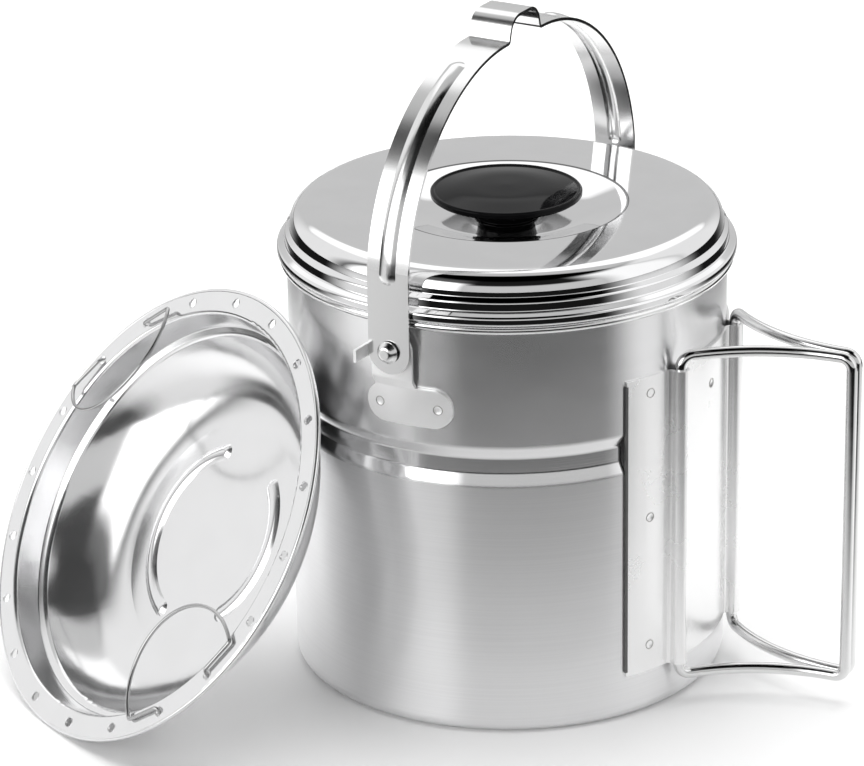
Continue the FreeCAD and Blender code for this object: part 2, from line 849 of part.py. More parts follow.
def main():
    parts = {
        "pot_body": make_pot_body(),
        "handle_bracket": make_handle_bracket(),
        "bail_lug_near": make_bail_lug(-1),
        "bail_lug_far": make_bail_lug(1),
        "bail": make_bail(),
        "bail_rivet_near": make_bail_rivet(-1),
        "bail_rivet_far": make_bail_rivet(1),
        "bail_washer_near": make_bail_washer(-1),
        "bail_washer_far": make_bail_washer(1),
        "wire_handle_near": make_wire_handle(-1),
        "wire_handle_far": make_wire_handle(1),
        "lid_shell": make_lid_shell(),
        "lid_knob": make_lid_knob(),
        "knob_insert": make_knob_insert(),
        "knob_screw": make_knob_screw(),
        "knob_washer": make_knob_washer(),
        "knob_spring_washer": make_knob_spring_washer(),
        "steamer_tray": lean(tray_shell()),
        "tray_loop_low": make_tray_loop(low_loop_hole, 0.0),
        "tray_loop_high": make_tray_loop(high_loop_hole, high_loop_lift),
    }
    os.makedirs("parts", exist_ok=True)
    for name, shape in parts.items():
        solid = shape.Solids[0] if len(shape.Solids) == 1 else shape
        solid.exportStep("parts/" + name + ".step")
        box = solid.optimalBoundingBox(False)
        print(name, "solids", len(shape.Solids), "valid", shape.isValid(), "volume", round(shape.Volume, 2),
              "x", round(box.XMin, 1), round(box.XMax, 1), "y", round(box.YMin, 1), round(box.YMax, 1),
              "z", round(box.ZMin, 2), round(box.ZMax, 2))
    print("fold angle", round(fold_angle(), 2), "tray centre", tray_centre())


main()
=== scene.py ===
# %% [markdown]
# # A hanging camp pot with its steamer tray
#
# The pot, its lid, the bail, the wires and the tray are already modelled as solids at
# their real size. This lesson dresses them. Each metal gets the finish that its own
# making leaves on it, the lid is turned afresh from one smooth profile, and small marks
# such as weld rings and punched burrs are added. A plain white studio then gives the
# steel something to reflect. Polished steel has almost no colour of its own, so most of
# the work is in how rough each face is and in what stands around it.

import math

import bmesh
import bpy
from mathutils import Matrix, Vector


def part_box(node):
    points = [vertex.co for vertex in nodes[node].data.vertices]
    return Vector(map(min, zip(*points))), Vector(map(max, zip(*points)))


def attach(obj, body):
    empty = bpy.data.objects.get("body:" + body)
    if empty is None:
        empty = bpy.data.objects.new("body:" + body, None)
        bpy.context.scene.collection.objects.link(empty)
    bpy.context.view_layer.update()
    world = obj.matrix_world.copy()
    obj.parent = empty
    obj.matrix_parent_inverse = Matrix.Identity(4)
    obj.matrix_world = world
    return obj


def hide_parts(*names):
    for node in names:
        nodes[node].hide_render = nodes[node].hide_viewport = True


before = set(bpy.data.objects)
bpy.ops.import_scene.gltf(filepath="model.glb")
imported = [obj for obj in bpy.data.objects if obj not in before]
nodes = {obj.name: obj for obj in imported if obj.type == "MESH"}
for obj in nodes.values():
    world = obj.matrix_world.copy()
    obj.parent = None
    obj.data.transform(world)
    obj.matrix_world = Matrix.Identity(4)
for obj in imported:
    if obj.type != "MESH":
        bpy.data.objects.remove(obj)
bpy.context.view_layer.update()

# %% [markdown]
# ## Where things are
#
# Places could be typed in, but then they would stay behind if the model changed. The
# main ones are read from the boxes of the solids instead: the pot's outside radius, the
# level of its rim and the top of the lid. Everything is in metres, so sizes that a
# maker would give in millimetres are written as a number times MM.

# %% Sizes read from the solids
MM = 0.001
pot_low, pot_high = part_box("pot_body")
rim_radius = (pot_high[0] - pot_low[0]) / 2
rim_height = pot_high[2]
lid_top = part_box("lid_shell")[1][2]
print("rim radius %.1f mm, rim height %.1f mm, lid top %.1f mm"
      % (rim_radius / MM, rim_height / MM, lid_top / MM))

# %% [markdown]
# ## Shader maths as plain expressions
#
# A metal's finish is mostly arithmetic on positions: stretch a noise along the
# direction of polishing, add a second one, scale the sum. Wiring Math nodes by hand is
# slow to write and to read, so one small class wraps a socket and turns `a * b + c`
# into the nodes that do it. Any other node comes from its `node` method.


# %% A socket that does arithmetic
class Sock:
    """An output socket that builds Math nodes when it is added, multiplied and so on."""

    def __init__(self, tree, socket):
        self.tree = tree
        self.socket = socket

    def node(self, kind, settings=(), values=(), out=0):
        """Adds one node, sets its settings first and then its sockets."""
        made = self.tree.nodes.new(kind)
        for name, value in dict(settings).items():
            setattr(made, name, value)
        for key, value in dict(values).items():
            target = made.inputs[key]
            if isinstance(value, Sock):
                self.tree.links.new(value.socket, target)
            else:
                target.default_value = value
        return Sock(self.tree, made.outputs[out])

    def maths(self, operation, *others):
        """A Math node on this value and the others."""
        values = {i: value for i, value in enumerate((self,) + others)}
        return self.node("ShaderNodeMath", {"operation": operation}, values)

    def __add__(self, other):
        return self.maths("ADD", other)

    def __mul__(self, other):
        return self.maths("MULTIPLY", other)

    def __sub__(self, other):
        return self.maths("SUBTRACT", other)

    def __rsub__(self, other):
        return (self * -1.0) + other

    __radd__ = __add__
    __rmul__ = __mul__

    def parts(self):
        """The X, Y and Z of a vector, as three sockets."""
        first = self.node("ShaderNodeSeparateXYZ", {}, {0: self})
        return [Sock(self.tree, output) for output in first.socket.node.outputs]

    def ramp(self, low, high, start=0.0, end=1.0):
        """Smooth change from start to end as the value goes from low to high."""
        values = {"Value": self, "From Min": low, "From Max": high, "To Min": start, "To Max": end}
        return self.node("ShaderNodeMapRange", {"interpolation_type": "SMOOTHSTEP"}, values)


def largest(first, *others):
    """The largest of some values, by a chain of Maximum nodes."""
    for other in others:
        first = first.maths("MAXIMUM", other)
    return first


def window(value, low, high, soft):
    """1 between low and high, falling to 0 over a soft edge outside them."""
    return value.ramp(low - soft, low) * value.ramp(high, high + soft, 1.0, 0.0)


def coordinates(tree, kind="Object"):
    """The position on a piece, or another output of Texture Coordinate."""
    return Sock(tree, tree.nodes.new("ShaderNodeTexCoord").outputs[kind])


# %% [markdown]
# ## One start for every finish
#
# All the finishes are a Principled shader. A finish is a function that gets the shader
# and the position on the piece and adds its own detail, so a new finish is only the few
# lines that make it different. What is the same all over is set on the shader's own
# sockets. Only colour, roughness and bump change from place to place.


# %% Start a material
def start_finish(name, colour, metallic, roughness, **fixed):
    """A new material; returns it, its shader node and the position socket."""
    material = bpy.data.materials.new(name)
    material.use_nodes = True
    shader = material.node_tree.nodes["Principled BSDF"]
    shader.inputs["Base Color"].default_value = (*colour, 1.0)
    shader.inputs["Metallic"].default_value = metallic
    shader.inputs["Roughness"].default_value = roughness
    for key, value in fixed.items():
        shader.inputs[key.replace("_", " ")].default_value = value
    return material, shader, coordinates(material.node_tree)


def feed(shader, key, value):
    """Links a worked-out value to a socket of the shader."""
    value.tree.links.new(value.socket, shader.inputs[key])


def grey(level, blue=0.0):
    """A grey colour with a touch of blue."""
    return (level, level, level + blue)


# %% Noise, bump and dulled colour
NOISE_DARK = 0.3
NOISE_LIGHT = 0.7
NOISE_ROUGHNESS = 0.55
DULLED = 0.97


def stretched_noise(place, scale, detail, seed=0.0):
    """Noise from 0 to 1 with its own scale along X, Y and Z; seed moves it elsewhere."""
    moved = (seed, seed * 0.7, seed * 0.3)
    mapped = place.node("ShaderNodeMapping", {},
                        {"Vector": place, "Scale": scale, "Location": moved})
    values = {"Vector": mapped, "Scale": 1.0, "Detail": detail,
              "Roughness": NOISE_ROUGHNESS}
    return place.node("ShaderNodeTexNoise", {}, values)


def spread(value, shares):
    """The least and the most of a value, from their shares of it."""
    return [value * share for share in shares]


def bumped(shader, height, distance):
    """Feeds a height through a Bump node to the shader's normal."""
    values = {"Height": height, "Distance": distance, "Strength": 1.0}
    feed(shader, "Normal", height.node("ShaderNodeBump", {}, values))


def unevenly_bright(shader, noise, colour):
    """The colour, very slightly dulled where the noise is dark."""
    duller = [DULLED * part for part in colour]
    # A Mix node keeps its two colours on inputs 6 and 7 and the mixed one on output 2.
    values = {0: noise.ramp(NOISE_DARK, NOISE_LIGHT), 6: (*duller, 1.0), 7: (*colour, 1.0)}
    feed(shader, "Base Color", noise.node("ShaderNodeMix", {"data_type": "RGBA"}, values, out=2))


# %% [markdown]
# ## The pot's wall: polished round and round
#
# A drawn pot is spun against an abrasive belt. The belt leaves very fine lines that run
# round the wall, so a reflection is smeared up and down and stays sharp from side to
# side. Modelling the lines as grooves would take millions of faces. Here they are a
# noise that changes quickly with height and slowly along the wall: stretched in X and
# Y, it has no seam anywhere. Anisotropy does the smearing. The rolled groove and the
# wall above it rub against the rolling tool, so they come out smoother.

# %% Belt-polished wall
BELT_LINES = (9.0, 9.0, 2600.0)
CLOUDS = (22.0, 22.0, 30.0)
QUARTER_TURN = 0.25
WALL_SPREAD = (0.94, 1.07)
GROOVE_FOOT = 84.5 * MM
GROOVE_TOP = 97.5 * MM
SOFT_EDGE = 1.0 * MM
GROOVE_SMOOTHER = 0.55
UPPER_SMOOTHER = 0.2


def belt_polished(name, colour, roughness, line_depth, smear):
    """Steel with fine level lines; smear is how far they draw a reflection out."""
    material, shader, place = start_finish(name, colour, 1.0, roughness, Anisotropic=smear,
                                           Anisotropic_Rotation=QUARTER_TURN)
    fine = stretched_noise(place, BELT_LINES, detail=2.0)
    cloudy = stretched_noise(place, CLOUDS, detail=3.0, seed=7.7)
    level = place.parts()[2]
    above_top = (GROOVE_TOP - SOFT_EDGE, GROOVE_TOP + SOFT_EDGE)
    above_foot = (GROOVE_FOOT - SOFT_EDGE, GROOVE_FOOT + SOFT_EDGE)
    upper = level.ramp(*above_top) * UPPER_SMOOTHER
    groove = level.ramp(*above_foot) * level.ramp(*above_top, 1.0, 0.0) * GROOVE_SMOOTHER
    rougher = cloudy.ramp(NOISE_DARK, NOISE_LIGHT, *spread(roughness, WALL_SPREAD))
    feed(shader, "Roughness", rougher * (1.0 - largest(upper, groove)))
    unevenly_bright(shader, fine, colour)
    bumped(shader, fine, line_depth)
    return material


wall_steel = belt_polished("belt_polished_steel", grey(0.85, 0.005), roughness=0.31,
                           line_depth=0.01 * MM, smear=0.93)
print("wall finish:", wall_steel.name)

# %% [markdown]
# ## The lid and the tray: buffed to a mirror
#
# The lid is buffed on a soft wheel, so it is nearly a mirror, with only a faint haze
# and a very slight unevenness that bends long reflections. The tray is buffed inside in
# the same way, but its bowl is stretched when it is pressed, which leaves it more
# uneven. A plain low roughness would look like chrome paint. One noise for the haze and
# a slower one for the swell of the sheet tell the two pieces apart.

# %% Mirror-buffed sheet
HAZE = (60.0, 60.0, 60.0)
HAZE_LIGHT = 0.75
HAZE_SPREAD = (0.88, 1.2)


def mirror_buffed(name, colour, roughness, wave, wave_scale, metallic=1.0):
    """Buffed metal; wave is the height of its swell, wave_scale how close the swells are."""
    material, shader, place = start_finish(name, colour, metallic, roughness)
    haze = stretched_noise(place, HAZE, detail=4.0, seed=1.3)
    swell = stretched_noise(place, (wave_scale,) * 3, detail=1.0, seed=5.9)
    hazy = haze.ramp(NOISE_DARK, HAZE_LIGHT, *spread(roughness, HAZE_SPREAD))
    feed(shader, "Roughness", hazy)
    unevenly_bright(shader, haze, colour)
    bumped(shader, swell, wave)
    return material


lid_steel = mirror_buffed("mirror_steel_lid", grey(0.84, 0.005), roughness=0.045,
                          wave=0.03 * MM, wave_scale=14.0)
tray_steel = mirror_buffed("mirror_steel_tray", grey(0.86, 0.005), roughness=0.15,
                           wave=0.4 * MM, wave_scale=26.0, metallic=0.93)
print("buffed:", lid_steel.name, tray_steel.name)

# %% [markdown]
# ## Painted shade where the lid's dish begins
#
# The small fold where the flat ring drops into the dish lies in shade, and that shade is
# painted into the colour. A ring of its own could be laid there, but shade has no
# thickness, so the colour is darkened instead, by the distance from the lid's axis.

# %% Painted shade in a fold
DISH_EDGE = 38.4 * MM
SHADE_LINE_WIDTH = 0.6 * MM
PAINTED_SHADE_TONE = 0.12


def paint_shade_ring(material, radius, half_width):
    """Darkens the colour of a material on a ring round the axis, as painted shade."""
    shader = material.node_tree.nodes["Principled BSDF"]
    place = coordinates(material.node_tree)
    flat = place.node("ShaderNodeVectorMath", {"operation": "MULTIPLY"},
                      {0: place, 1: (1.0, 1.0, 0.0)})
    off_axis = flat.node("ShaderNodeVectorMath", {"operation": "LENGTH"}, {0: flat}, out=1)
    off_ring = (off_axis - radius).maths("ABSOLUTE")
    # Painted shade: the colour is darkened on the ring and left as it is away from it.
    shade_factor = off_ring.ramp(half_width * 0.5, half_width, PAINTED_SHADE_TONE, 1.0)
    before = Sock(material.node_tree, shader.inputs["Base Color"].links[0].from_socket)
    feed(shader, "Base Color", before.node("ShaderNodeVectorMath", {"operation": "SCALE"},
                                           {0: before, "Scale": shade_factor}))


paint_shade_ring(lid_steel, DISH_EDGE, SHADE_LINE_WIDTH)
print("painted shade ring at %.1f mm from the axis" % (DISH_EDGE / MM))

# %% [markdown]
# ## Strip, wire and rivets
#
# The bail is stamped from bright strip and tumbled, which rounds its edges and leaves a
# soft sheen. The lugs are duller, and the bracket is bare rolled sheet. The wires are
# drawn through a die and the rivets are set with a smooth punch, so both are bright.
# All are the buffed finish with other numbers, so they share its function.

# %% Stamped strip, sheet, drawn wire and rivets
strip_steel = mirror_buffed("tumbled_strip", grey(0.82), roughness=0.17,
                            wave=0.04 * MM, wave_scale=24.0)
lug_steel = mirror_buffed("satin_lug", grey(0.96), roughness=0.34,
                          wave=0.02 * MM, wave_scale=20.0, metallic=0.62)
wire_steel = mirror_buffed("drawn_wire", grey(0.78), roughness=0.1,
                           wave=0.05 * MM, wave_scale=120.0)
rim_steel = mirror_buffed("burnished_rim", grey(0.84), roughness=0.1,
                          wave=0.02 * MM, wave_scale=20.0)
loop_steel = mirror_buffed("spring_wire", grey(0.5), roughness=0.18,
                           wave=0.05 * MM, wave_scale=120.0)
rivet_steel = mirror_buffed("punched_rivet", grey(0.88), roughness=0.2,
                            wave=0.05 * MM, wave_scale=90.0)
bracket_steel = mirror_buffed("rolled_sheet", grey(0.92), roughness=0.24,
                              wave=0.02 * MM, wave_scale=14.0, metallic=0.82)
print("materials so far:", len(bpy.data.materials))

# %% [markdown]
# ## The knob and its insert
#
# The knob is a black moulding with a high gloss. Its surface is never quite even: a
# very shallow swell and a few fine scuffs keep it from looking like black glass. The
# insert inside it is turned brass. Round each spot weld the steel is browned by heat.

# %% Black moulding, brass and weld
SCUFFS = (900.0, 160.0, 400.0)
MOULD_SWELL = (40.0, 40.0, 40.0)
SMOOTH_GLOSS = 0.04
SCUFFED_GLOSS = 0.09


def black_moulding(name, colour, swell):
    """Glossy moulding with fine scuffs and a shallow swell."""
    material, shader, place = start_finish(name, colour, metallic=0.0, roughness=0.1, IOR=1.18,
                                           Specular_IOR_Level=0.4)
    scuff = stretched_noise(place, SCUFFS, detail=4.0, seed=2.2)
    feed(shader, "Roughness", scuff.ramp(0.45, 0.8, SMOOTH_GLOSS, SCUFFED_GLOSS))
    bumped(shader, stretched_noise(place, MOULD_SWELL, detail=1.0), swell)
    return material


knob_black = black_moulding("black_moulding", grey(0.006, 0.0005), swell=0.1 * MM)
insert_brass = mirror_buffed("turned_brass", (0.78, 0.58, 0.28), roughness=0.25,
                             wave=0.1 * MM, wave_scale=200.0)
weld_steel = mirror_buffed("weld_heated_steel", (0.42, 0.41, 0.4), roughness=0.3,
                           wave=0.1 * MM, wave_scale=400.0)
print("knob:", knob_black.name, "insert:", insert_brass.name, "welds:", weld_steel.name)

# %% Put each finish on its pieces
finishes = {
    "pot_body": wall_steel,
    "handle_bracket": bracket_steel,
    "lid_shell": lid_steel,
    "steamer_tray": tray_steel,
    "lid_knob": knob_black,
    "knob_insert": insert_brass,
    "bail": strip_steel,
    "bail_lug_near": lug_steel,
    "bail_lug_far": lug_steel,
    "bail_washer_near": strip_steel,
    "bail_washer_far": strip_steel,
    "bail_rivet_near": rivet_steel,
    "bail_rivet_far": rivet_steel,
    "wire_handle_near": wire_steel,
    "wire_handle_far": wire_steel,
    "tray_loop_low": loop_steel,
    "tray_loop_high": loop_steel,
    "knob_screw": rivet_steel,
    "knob_washer": strip_steel,
    "knob_spring_washer": strip_steel,
}
for node, finish in finishes.items():
    nodes[node].data.materials.clear()
    nodes[node].data.materials.append(finish)
print("finished nodes:", len(finishes), "left:", sorted(set(nodes) - set(finishes)))

# %% [markdown]
# ## Turned pieces
#
# The lid is a round of sheet that is pressed and then trimmed on a lathe, so one profile
# swept once round the axis is its whole shape. Modelling it by hand would mean placing
# rings of points. Here a short list of corners, each with its bend, is rounded into a
# profile, and a Geometry Nodes tree carries the profile round a circle. The same tree
# makes the bead on the tray's edge and the roll on the pot's rim.

# %% Round off a profile
ARC_STEPS = 7
NEARLY_STRAIGHT = math.radians(89.5)


def rounded(corners, bends):
    """Corner points joined by tangent arcs, as a closed list of (radius, level)."""
    out = []
    count = len(corners)
    for i, (corner, bend) in enumerate(zip(corners, bends)):
        here = Vector(corner)
        back = (Vector(corners[i - 1]) - here).normalized()
        ahead = (Vector(corners[(i + 1) % count]) - here).normalized()
        half = back.angle(ahead) / 2
        if bend == 0 or half > NEARLY_STRAIGHT:
            out.append(here)
            continue
        reach = bend / math.tan(half)
        centre = here + (back + ahead).normalized() * (bend / math.sin(half))
        first = here + back * reach - centre
        last = here + ahead * reach - centre
        sweep = first.angle_signed(last)
        for step in range(ARC_STEPS + 1):
            out.append(centre + Matrix.Rotation(-sweep * step / ARC_STEPS, 2) @ first)
    return out


def sheet_profile(corners, bends, gauge):
    """Closed profile of bent sheet: corners run along its outer face."""
    runs = [(Vector(b) - Vector(a)).normalized() for a, b in zip(corners, corners[1:])]
    inner = []
    inner_bends = []
    for i, corner in enumerate(corners):
        before = runs[max(i - 1, 0)]
        after = runs[min(i, len(runs) - 1)]
        share = gauge / (1 + before.dot(after))
        offset = Vector((before.y + after.y, -before.x - after.x)) * share
        inner.append(tuple(Vector(corner) + offset))
        outward = before.x * after.y - before.y * after.x < 0
        change = -gauge if outward else gauge
        inner_bends.append(max(bends[i] + change, 0.0) if bends[i] else 0.0)
    return rounded(list(corners) + inner[::-1], list(bends) + inner_bends[::-1])


# %% Start and end of a tree
def new_tree(name, inputs):
    """An empty tree with one Geometry in and out, and the named inputs."""
    tree = bpy.data.node_groups.new(name, "GeometryNodeTree")
    tree.interface.new_socket("Geometry", in_out="INPUT", socket_type="NodeSocketGeometry")
    for label, kind in inputs:
        tree.interface.new_socket(label, in_out="INPUT", socket_type="NodeSocket" + kind)
    tree.interface.new_socket("Geometry", in_out="OUTPUT", socket_type="NodeSocketGeometry")
    group_input = tree.nodes.new("NodeGroupInput")
    return {socket.name: Sock(tree, socket) for socket in group_input.outputs if socket.name}


def close_tree(shape, finish):
    """Ends a tree with smooth shading, Realize Instances and Set Material."""
    smooth = shape.node("GeometryNodeSetShadeSmooth", {}, {"Geometry": shape})
    plain = smooth.node("GeometryNodeRealizeInstances", {}, {"Geometry": smooth})
    done = plain.node("GeometryNodeSetMaterial", {}, {"Geometry": plain, "Material": finish})
    leaving = shape.tree.nodes.new("NodeGroupOutput")
    shape.tree.links.new(done.socket, leaving.inputs[0])
    return shape.tree


# %% A tree that carries a profile round the axis
def turning_tree():
    """Sweeps the profile that it is given round a circle in the XY plane."""
    given = new_tree("turn_on_axis", [("Sides", "Int"), ("Circle radius", "Float"),
                                      ("Finish", "Material")])
    start = given["Geometry"]
    profile = start.node("GeometryNodeMeshToCurve", {}, {"Mesh": start})
    circle = start.node("GeometryNodeCurvePrimitiveCircle", {},
                        {"Resolution": given["Sides"], "Radius": given["Circle radius"]})
    swept = start.node("GeometryNodeCurveToMesh", {},
                       {"Curve": circle, "Profile Curve": profile})
    return close_tree(swept, given["Finish"])


turning = turning_tree()
print("tree:", turning.name, "nodes:", len(turning.nodes))

# %% Run a tree on an object and keep only its mesh
AT_REST = Matrix.Identity(4)
SAME_POINT = 1e-7


def add_piece(name, mesh):
    """Puts a finished mesh in the scene, at the origin, unturned and unscaled."""
    piece = bpy.data.objects.new(name, mesh)
    bpy.context.collection.objects.link(piece)
    return piece


def run_tree(name, mesh, tree, values, place):
    """Evaluates the tree on the mesh; returns a plain piece with its place in its mesh."""
    maker = add_piece(name + "_maker", mesh)
    modifier = maker.modifiers.new("maker", "NODES")
    modifier.node_group = tree
    for item in tree.interface.items_tree:
        if item.in_out == "INPUT" and item.name in values:
            modifier[item.identifier] = values[item.name]
    graph = bpy.context.evaluated_depsgraph_get()
    made = bpy.data.meshes.new_from_object(maker.evaluated_get(graph))
    bpy.data.objects.remove(maker)
    made.name = name
    made.transform(place)
    work = bmesh.new()
    work.from_mesh(made)
    bmesh.ops.remove_doubles(work, verts=work.verts, dist=SAME_POINT)
    bmesh.ops.recalc_face_normals(work, faces=work.faces)
    work.to_mesh(made)
    work.free()
    print(name, len(made.vertices), "points", len(made.polygons), "faces")
    return add_piece(name, made)


# %% Turn a piece from its profile
SIDES = 256


def turned(name, profile, circle_radius, finish, place=AT_REST):
    """A turned piece from a closed profile of (radius, level) points."""
    mesh = bpy.data.meshes.new(name + "_profile")
    points = [(radius - circle_radius, -level, 0.0) for radius, level in profile]
    ring = [(i, (i + 1) % len(points)) for i in range(len(points))]
    mesh.from_pydata(points, ring, [])
    values = {"Sides": SIDES, "Circle radius": circle_radius, "Finish": finish}
    return run_tree(name, mesh, turning, values, place)


# %% The lid
GAUGE = 0.6 * MM
GUIDE_CIRCLE = 40.0 * MM
# Each corner has its radius, its level under the lid's top and its bend, in millimetres.
# They run from the screw's hole over the dish, the flat ring, the shoulder and the wall,
# then over the band and the hem to the foot of the plug skirt.
LID_CORNERS = [
    (2.2, -5.0, 0.0),
    (13.0, -5.0, 20.0),
    (25.4, -3.65, 40.0),
    (38.6, 0.0, 0.6),
    (68.9, 0.0, 6.2),
    (68.9, -6.9, 0.5),
    (70.5, -8.1, 1.1),
    (70.5, -11.0, 0.8),
    (73.0, -12.2, 1.2),
    (73.0, -15.0, 0.9),
    (68.7, -15.0, 0.6),
    (68.7, -22.0, 0.0),
]
lid_corners = [(radius * MM, lid_top + level * MM) for radius, level, bend in LID_CORNERS]
lid_bends = [bend * MM for radius, level, bend in LID_CORNERS]
lid_turned = turned("lid_turned", sheet_profile(lid_corners, lid_bends, GAUGE), GUIDE_CIRCLE,
                    lid_steel)
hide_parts("lid_shell")
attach(lid_turned, "lid")

# %% [markdown]
# ## The tray's rolled edge
#
# The tray's flange is turned under at its outer edge, so a thin round bead runs all the
# way round and catches one bright and one dark line. A small round profile on the same
# tree makes it. It is turned flat, as on the lathe, and a matrix then lays it on the
# leaning tray.

# %% The leaning tray's place
TILT = math.radians(56.2)
FACING = math.radians(-27.2 - 90.0)
TRAY_CENTRE = Vector((-0.0797836, -0.0882982, 0.0633245))


def placed(centre, x_axis, y_axis, z_axis):
    """The matrix that moves a piece to a place and turns it onto three axes."""
    turn = Matrix((x_axis, y_axis, z_axis)).transposed()
    return Matrix.Translation(centre) @ turn.to_4x4()


tray_out = Vector((math.sin(TILT) * math.cos(FACING), math.sin(TILT) * math.sin(FACING),
                   math.cos(TILT)))
tray_across = Vector((0, 0, 1)).cross(tray_out).normalized()
tray_place = placed(TRAY_CENTRE, tray_across, tray_out.cross(tray_across), tray_out)
print("tray faces", [round(part, 3) for part in tray_out])

# %% The bead
SECTION_POINTS = 24
BEAD_RADIUS = 74.8 * MM
BEAD_LEVEL = -0.68 * MM
BEAD_SECTION = 0.74 * MM


def round_section(radius, level, section):
    """A full circle as a closed profile."""
    turns = [2 * math.pi * i / SECTION_POINTS for i in range(SECTION_POINTS)]
    return [(radius + section * math.cos(turn), level + section * math.sin(turn))
            for turn in turns]


tray_bead = turned("tray_edge_bead", round_section(BEAD_RADIUS, BEAD_LEVEL, BEAD_SECTION),
                   BEAD_RADIUS, tray_steel, tray_place)
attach(tray_bead, "tray")

# %% [markdown]
# ## The pot's rolled rim
#
# The pot's rim is curled over by a roller, which leaves it brighter than the wall. Its
# solid is made of flat strips, and each strip would glint on its own under the lid. A
# smooth roll that is thicker by a hair covers them, and it takes its own finish.

# %% The roll
RIM_ROLL = 1.4 * MM
POLISH = 0.02 * MM
roll_radius = rim_radius - RIM_ROLL
roll_section = round_section(roll_radius, rim_height - RIM_ROLL, RIM_ROLL + POLISH)
rim_roll = turned("rim_roll", roll_section, roll_radius, rim_steel)
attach(rim_roll, "pot")

# %% [markdown]
# ## Marks that repeat
#
# Each spot weld leaves a small raised ring round a shallow dent, and each steam hole
# has a fine burr round its mouth where the punch went through. Both are one ring set on
# a list of places, so one tree makes them: it puts a small torus on every point and
# turns it to face away from the axis, or along it.

# %% A tree that sets a ring on every point
RING_SIDES = 28
RING_SECTION_SIDES = 10


def marking_tree():
    """Sets one ring on every point of the mesh that it is given."""
    given = new_tree("ring_on_points", [("Ring radius", "Float"), ("Section", "Float"),
                                        ("Outward", "Float"), ("Finish", "Material")])
    start = given["Geometry"]
    outward = given["Outward"]
    wire = start.node("GeometryNodeCurvePrimitiveCircle", {},
                      {"Resolution": RING_SIDES, "Radius": given["Ring radius"]})
    section = start.node("GeometryNodeCurvePrimitiveCircle", {},
                         {"Resolution": RING_SECTION_SIDES, "Radius": given["Section"]})
    ring = start.node("GeometryNodeCurveToMesh", {}, {"Curve": wire, "Profile Curve": section})
    x, y = start.node("GeometryNodeInputPosition").parts()[:2]
    direction = start.node("ShaderNodeCombineXYZ", {},
                           {"X": x * outward, "Y": y * outward, "Z": 1.0 - outward})
    facing = start.node("FunctionNodeAlignRotationToVector", {"axis": "Z"},
                        {"Vector": direction})
    marks = start.node("GeometryNodeInstanceOnPoints", {},
                       {"Points": start, "Instance": ring, "Rotation": facing})
    return close_tree(marks, given["Finish"])


marking = marking_tree()
print("tree:", marking.name, "nodes:", len(marking.nodes))


# %% Places round the axis
def polar(radius, degrees, level=0.0):
    """A point by its distance from the axis, its bearing and its level."""
    angle = math.radians(degrees)
    return (radius * math.cos(angle), radius * math.sin(angle), level)


def rings(name, places, radius, section, outward, finish, place=AT_REST):
    """A ring on each place; outward is 1 to face away from the axis and 0 to face up."""
    mesh = bpy.data.meshes.new(name + "_places")
    mesh.from_pydata(places, [], [])
    values = {"Ring radius": radius, "Section": section, "Outward": outward, "Finish": finish}
    return run_tree(name, mesh, marking, values, place)


# %% Rings round the spot welds
WALL = 70.05 * MM
LUG_FACE = WALL + 1.0 * MM
WING_FACE = WALL + 0.8 * MM
LUG_TURN = 86.4
LUG_WELDS_APART = 8.0
LUG_WELD_LEVEL = 109.3 * MM
BRACKET_TURN = 3.6
WING_WELD_TURN = 26.0
WING_WELD_LEVELS = (24.0 * MM, 67.8 * MM, 109.6 * MM)
WEB_WELD_LEVEL = 102.7 * MM
WELD_RADIUS = 1.45 * MM
WELD_SECTION = 0.13 * MM
lug_welds = [polar(LUG_FACE, side * (LUG_TURN + apart), LUG_WELD_LEVEL)
             for side in (-1, 1) for apart in (LUG_WELDS_APART, -LUG_WELDS_APART)]
wing_welds = [polar(WING_FACE, BRACKET_TURN + turn, level)
              for turn in (-WING_WELD_TURN, WING_WELD_TURN) for level in WING_WELD_LEVELS]
web_welds = [polar(WING_FACE, BRACKET_TURN, WEB_WELD_LEVEL)]
welds = rings("weld_rings", lug_welds + wing_welds + web_welds, WELD_RADIUS, WELD_SECTION,
              outward=1.0, finish=weld_steel)
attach(welds, "pot")

# %% [markdown]
# ## Painted shade along the bracket's edges
#
# The bracket's two wings are sheared from sheet. Where each sheared edge meets the wall,
# shade falls in a thin dark line down the wing, and that shade is painted. A dark stripe in
# the wing's own finish would need its exact place in the shader, so a dark sliver of metal
# over the edge is simpler: it stands out by a twentieth of a millimetre, like a burr.

# %% Painted shade on the sheared edges
WING_SPAN = (16.5 * MM, 113.5 * MM)
WING_EDGES = (("left", -29.7), ("right", 36.9))
EDGE_HALF_TURN = 0.35
EDGE_BURR = 0.05 * MM


def shade_strip_edge(name, degrees, finish):
    """A thin dark upright sliver over the sheared edge of a wing, at a bearing; its dark is
    painted shade.
    """
    before, after = degrees - EDGE_HALF_TURN, degrees + EDGE_HALF_TURN
    outside = WING_FACE + EDGE_BURR
    corners = [(WALL, before), (outside, before), (outside, after), (WALL, after)]
    points = [polar(radius, turn, level) for level in WING_SPAN for radius, turn in corners]
    sides = [(i, (i + 1) % 4, (i + 1) % 4 + 4, i + 4) for i in range(4)]
    mesh = bpy.data.meshes.new(name)
    mesh.from_pydata(points, [], [(0, 3, 2, 1), (4, 5, 6, 7)] + sides)
    mesh.materials.append(finish)
    return add_piece(name, mesh)


# Painted shade: this dark grey stands in for the shadow along each wing's edge.
painted_edge_shade = mirror_buffed("painted_shade_edge", grey(0.16), roughness=0.45,
                           wave=0.1 * MM, wave_scale=300.0)
for label, degrees in WING_EDGES:
    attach(shade_strip_edge("wing_shade_strip_" + label, degrees, painted_edge_shade), "pot")
print("painted shade edges:", len(WING_EDGES))

